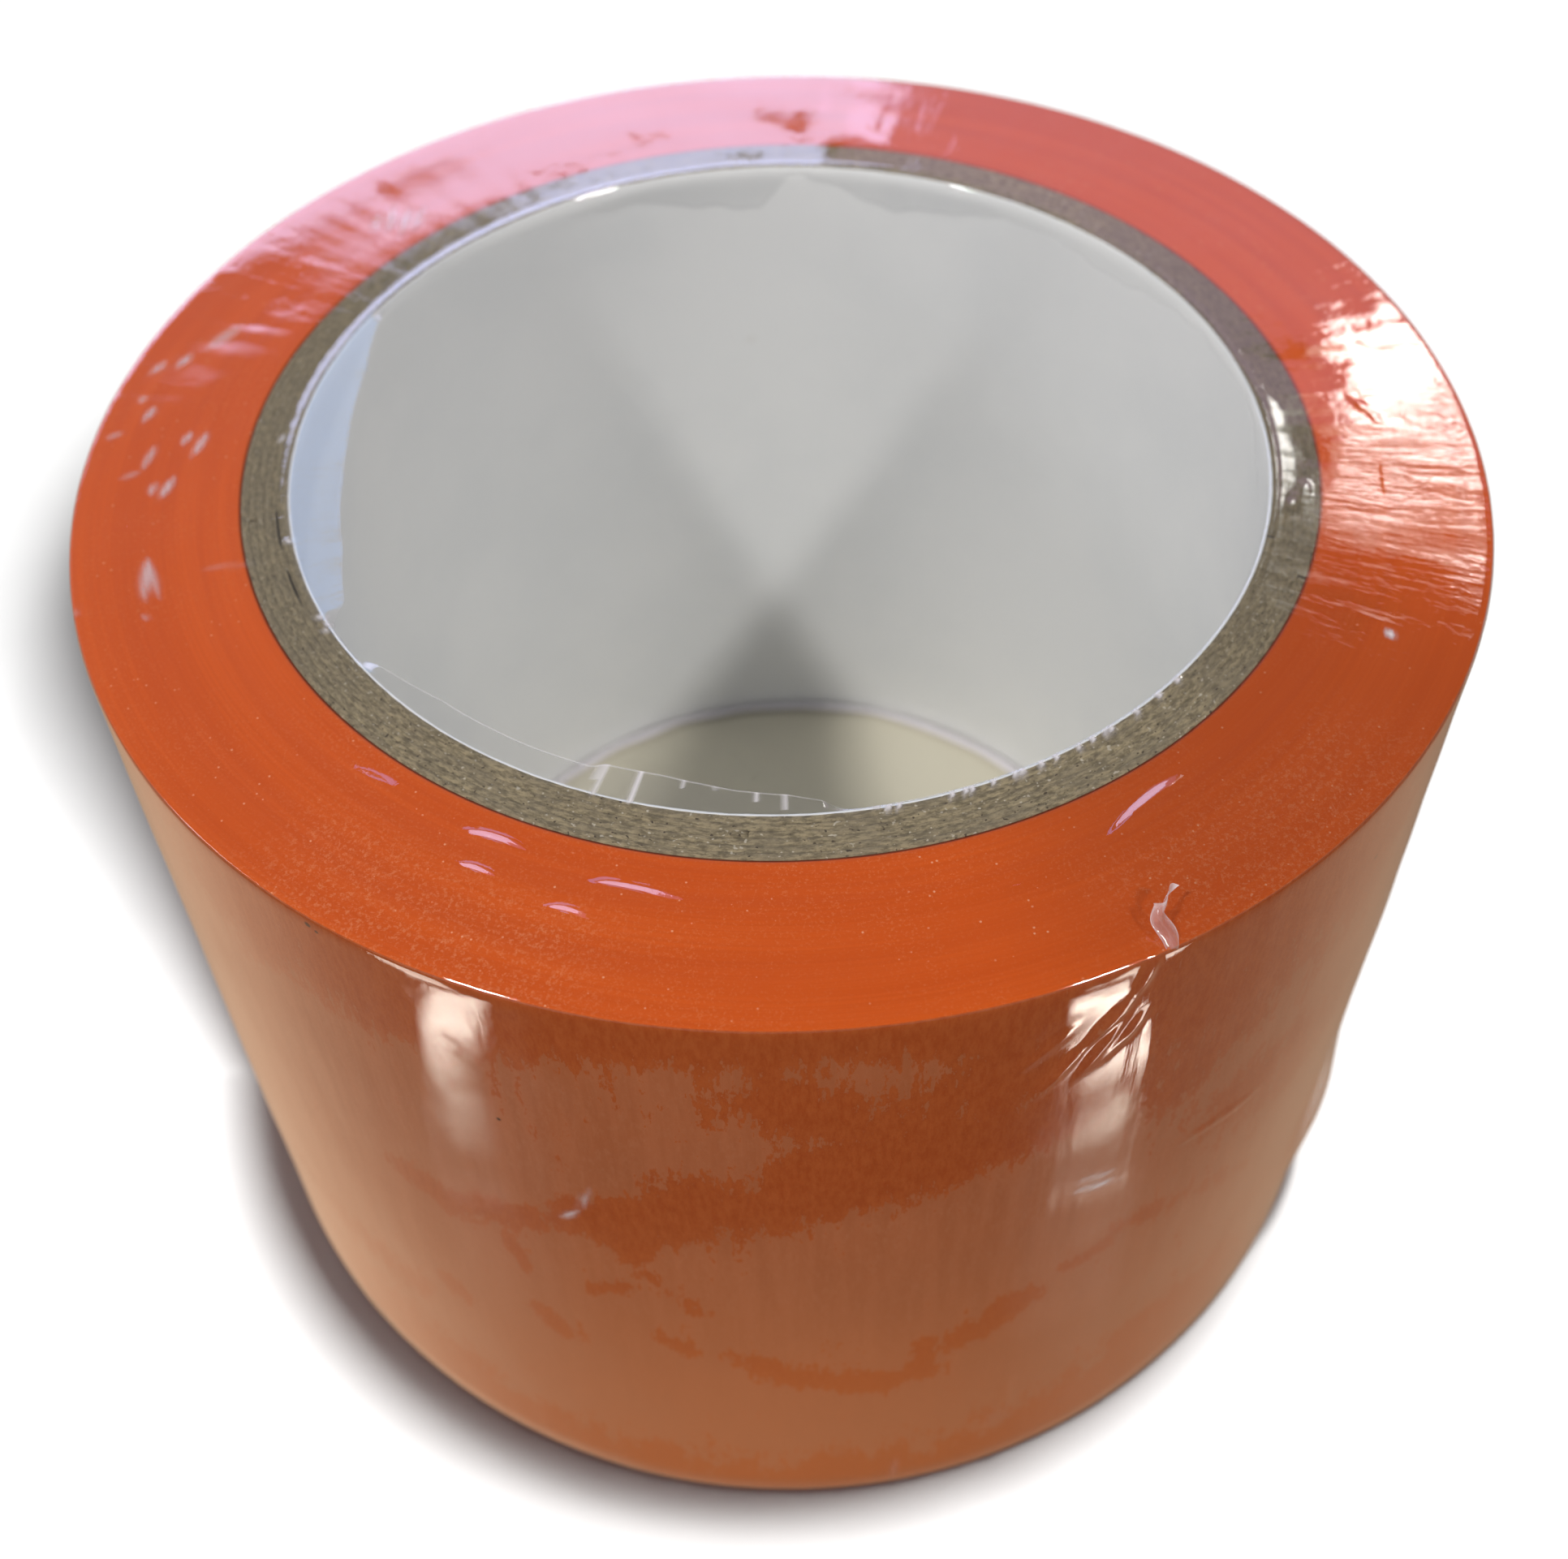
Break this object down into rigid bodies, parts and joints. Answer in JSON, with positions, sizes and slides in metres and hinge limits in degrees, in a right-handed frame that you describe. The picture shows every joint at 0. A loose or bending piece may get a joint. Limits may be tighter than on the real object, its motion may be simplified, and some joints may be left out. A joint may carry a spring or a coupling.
{
  "type": "adhesive tape roll",
  "caption": "Roll of wide coloured adhesive tape wound on a spiral-wound paper core with a white liner, sealed in clear shrink film that leaves the bore open.",
  "frame": {"origin": "on the bore's axis, in the plane that the roll stands on", "axes": "+Z along the bore's axis, up from the face that the roll stands on; the film's pinched ear is at the top rim, 66 degrees clockwise from +X seen from above"},
  "size_m": [0.1092, 0.1092, 0.078],
  "materials": {
    "white_paper": "smooth matte white liner paper",
    "kraft_board": "grey-brown recycled core board, fibrous at its cut ends",
    "orange_tape": "satin translucent vinyl, milky where the adhesive has not wetted out",
    "clear_film": "clear glossy shrink film with small wrinkles"
  },
  "bodies": {
    "root": {"core_liner": "white_paper", "core_ply_1": "kraft_board", "core_ply_2": "kraft_board", "core_ply_3": "kraft_board", "core_ply_4": "kraft_board", "core_ply_5": "kraft_board", "core_ply_6": "kraft_board", "wound_tape": "orange_tape", "shrink_film": "clear_film"}
  },
  "joints": []
}
